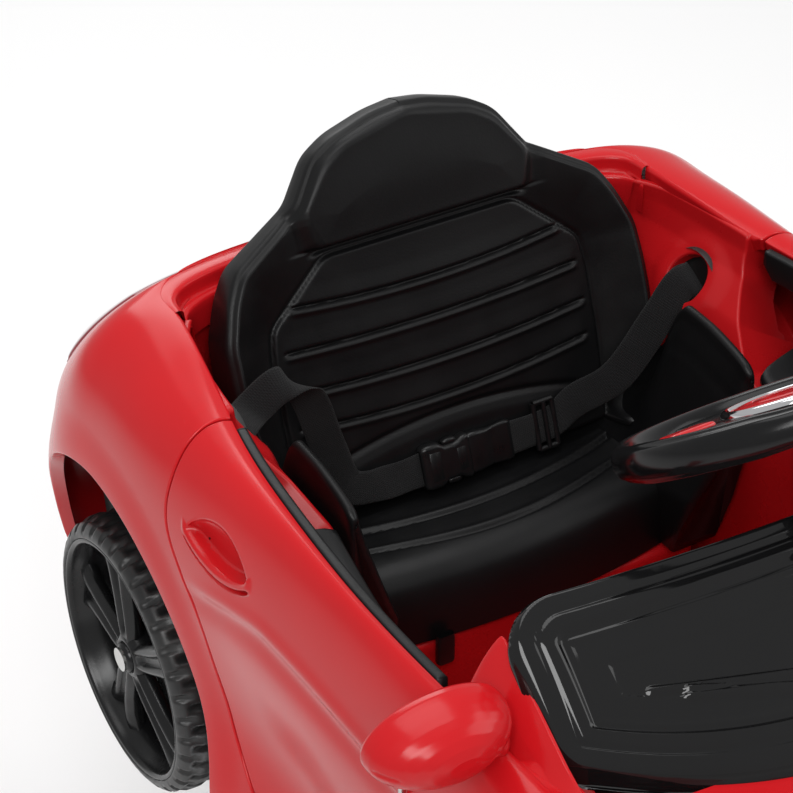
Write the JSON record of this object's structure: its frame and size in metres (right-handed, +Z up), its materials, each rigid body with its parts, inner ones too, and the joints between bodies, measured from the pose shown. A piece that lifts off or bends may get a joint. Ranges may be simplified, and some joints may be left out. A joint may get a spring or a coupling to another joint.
{
  "type": "kids car barber chair",
  "caption": "Child-sized red sports-car body with a moulded seat, lap belt, opening doors and working steering, on a height-adjustable swivelling barber-chair pedestal.",
  "frame": {"origin": "centre of the pedestal's base on the floor, on the column axis", "axes": "+Z up along the column, -Y towards the car's nose, +X towards the car's left side"},
  "size_m": [0.604, 1.0666, 0.8272],
  "materials": {
    "base_chrome": "polished",
    "pump_paint": "satin",
    "piston_chrome": "polished",
    "steel": "satin",
    "rubber_black": "matte",
    "frame_paint": "satin",
    "body_red": "gloss",
    "chassis_black": "matte",
    "seat_black": "semi-matte",
    "webbing": "woven",
    "buckle_black": "satin",
    "screen_black": "gloss",
    "trim_black": "gloss",
    "lining_black": "satin",
    "lens_red": "gloss",
    "lens_clear": "gloss",
    "button_red": "gloss",
    "mirror_face": "polished",
    "tyre_black": "matte",
    "rim_black": "gloss"
  },
  "bodies": {
    "base": {"base_plate": "base_chrome", "base_ring": "rubber_black", "pump_housing": "pump_paint", "pump_sleeve": "base_chrome", "housing_bolts": "steel", "lever_pin": "steel"},
    "lever": {"pump_lever": "piston_chrome", "lever_pad": "rubber_black"},
    "lift": {"piston": "piston_chrome", "swivel_hub": "pump_paint"},
    "car": {"mount_frame": "frame_paint", "frame_bolts": "steel", "chassis": "chassis_black", "body_rear": "body_red", "body_front": "body_red", "cockpit_tub": "body_red", "seat_shell": "seat_black", "belt_right": "webbing", "belt_left": "webbing", "buckle_socket": "buckle_black", "buckle_plug": "buckle_black", "belt_slider": "buckle_black", "windshield_panel": "screen_black", "dashboard": "lining_black", "column_boot": "trim_black", "taillight_left": "lens_red", "taillight_right": "lens_red", "headlight_left": "lens_clear", "headlight_right": "lens_clear", "grille": "chassis_black", "rear_axle": "steel", "mirror_left": "body_red", "mirror_right": "body_red", "mirror_glass_left": "mirror_face", "mirror_glass_right": "mirror_face", "door_hinge_pins": "steel"},
    "steering": {"steering_wheel": "trim_black", "wheel_hub_cover": "trim_black", "steering_column": "steel"},
    "horn_left": {"horn_button_left": "button_red"},
    "horn_right": {"horn_button_right": "button_red"},
    "start": {"start_button": "button_red"},
    "gear": {"gear_rocker": "trim_black"},
    "pedal": {"foot_pedal": "chassis_black"},
    "knuckle_l": {"knuckle_left": "steel"},
    "knuckle_r": {"knuckle_right": "steel"},
    "tie": {"tie_rod": "steel"},
    "door_l": {"door_skin_left": "body_red", "door_lining_left": "lining_black"},
    "door_r": {"door_skin_right": "body_red", "door_lining_right": "lining_black"},
    "wheel_rear_left": {"tyre_rear_left": "tyre_black", "rim_rear_left": "rim_black"},
    "wheel_rear_right": {"tyre_rear_right": "tyre_black", "rim_rear_right": "rim_black"},
    "wheel_front_left": {"tyre_front_left": "tyre_black", "rim_front_left": "rim_black"},
    "wheel_front_right": {"tyre_front_right": "tyre_black", "rim_front_right": "rim_black"}
  },
  "joints": [
    {"name": "lift_slide", "type": "slide", "parent": "base", "child": "lift", "axis": [0, 0, 1], "range_m": [0, 0.14]},
    {"name": "swivel", "type": "hinge", "parent": "lift", "child": "car", "pos_m": [0, 0, 0.34], "axis": [0, 0, 1], "continuous": true},
    {"name": "pump_stroke", "type": "hinge", "parent": "base", "child": "lever", "pos_m": [0, 0.097, 0.104], "axis": [-1, 0, 0], "range_deg": [0, 14], "stiffness_Nm_per_rad": 8, "springref_deg": -14.32},
    {"name": "steer", "type": "hinge", "parent": "car", "child": "steering", "pos_m": [0, -0.097, 0.758], "axis": [0, 0.6088, 0.7934], "range_deg": [-35, 35]},
    {"name": "kingpin_left", "type": "hinge", "parent": "car", "child": "knuckle_l", "pos_m": [0.178, -0.33, 0.385], "axis": [0, 0, 1], "range_deg": [-25, 25]},
    {"name": "kingpin_right", "type": "hinge", "parent": "car", "child": "knuckle_r", "pos_m": [-0.178, -0.33, 0.385], "axis": [0, 0, 1], "range_deg": [-25, 25]},
    {"name": "tie_slide", "type": "slide", "parent": "car", "child": "tie", "axis": [1, 0, 0], "range_m": [-0.0175, 0.0175]},
    {"name": "horn_press_left", "type": "slide", "parent": "steering", "child": "horn_left", "axis": [0, -0.6088, -0.7934], "range_m": [0, 0.002], "stiffness_N_per_m": 900, "springref_m": -0.0006},
    {"name": "horn_press_right", "type": "slide", "parent": "steering", "child": "horn_right", "axis": [0, -0.6088, -0.7934], "range_m": [0, 0.002], "stiffness_N_per_m": 900, "springref_m": -0.0006},
    {"name": "start_press", "type": "slide", "parent": "car", "child": "start", "axis": [0, -1, 0], "range_m": [0, 0.003], "stiffness_N_per_m": 700, "springref_m": -0.0006},
    {"name": "gear_tip", "type": "hinge", "parent": "car", "child": "gear", "pos_m": [0.112, -0.107, 0.632], "axis": [1, 0, 0], "range_deg": [-9, 9]},
    {"name": "pedal_press", "type": "hinge", "parent": "car", "child": "pedal", "pos_m": [-0.072, -0.161, 0.3745], "axis": [1, 0, 0], "range_deg": [0, 11], "stiffness_Nm_per_rad": 0.4, "springref_deg": -11.46},
    {"name": "door_left_hinge", "type": "hinge", "parent": "car", "child": "door_l", "pos_m": [0.2555, -0.098, 0.525], "axis": [0, 0, -1], "range_deg": [0, 55]},
    {"name": "door_right_hinge", "type": "hinge", "parent": "car", "child": "door_r", "pos_m": [-0.2555, -0.098, 0.525], "axis": [0, 0, 1], "range_deg": [0, 55]},
    {"name": "spin_rear_left", "type": "hinge", "parent": "car", "child": "wheel_rear_left", "pos_m": [0.229, 0.293, 0.385], "axis": [1, 0, 0], "continuous": true},
    {"name": "spin_rear_right", "type": "hinge", "parent": "car", "child": "wheel_rear_right", "pos_m": [-0.229, 0.293, 0.385], "axis": [1, 0, 0], "continuous": true},
    {"name": "spin_front_left", "type": "hinge", "parent": "knuckle_l", "child": "wheel_front_left", "pos_m": [0.229, -0.33, 0.385], "axis": [1, 0, 0], "continuous": true},
    {"name": "spin_front_right", "type": "hinge", "parent": "knuckle_r", "child": "wheel_front_right", "pos_m": [-0.229, -0.33, 0.385], "axis": [1, 0, 0], "continuous": true}
  ],
  "couplings": [
    {"joint": "kingpin_left", "follows": "steer", "ratio": 0.7},
    {"joint": "kingpin_right", "follows": "steer", "ratio": 0.7},
    {"joint": "tie_slide", "follows": "steer", "m_per_rad": -0.028}
  ]
}
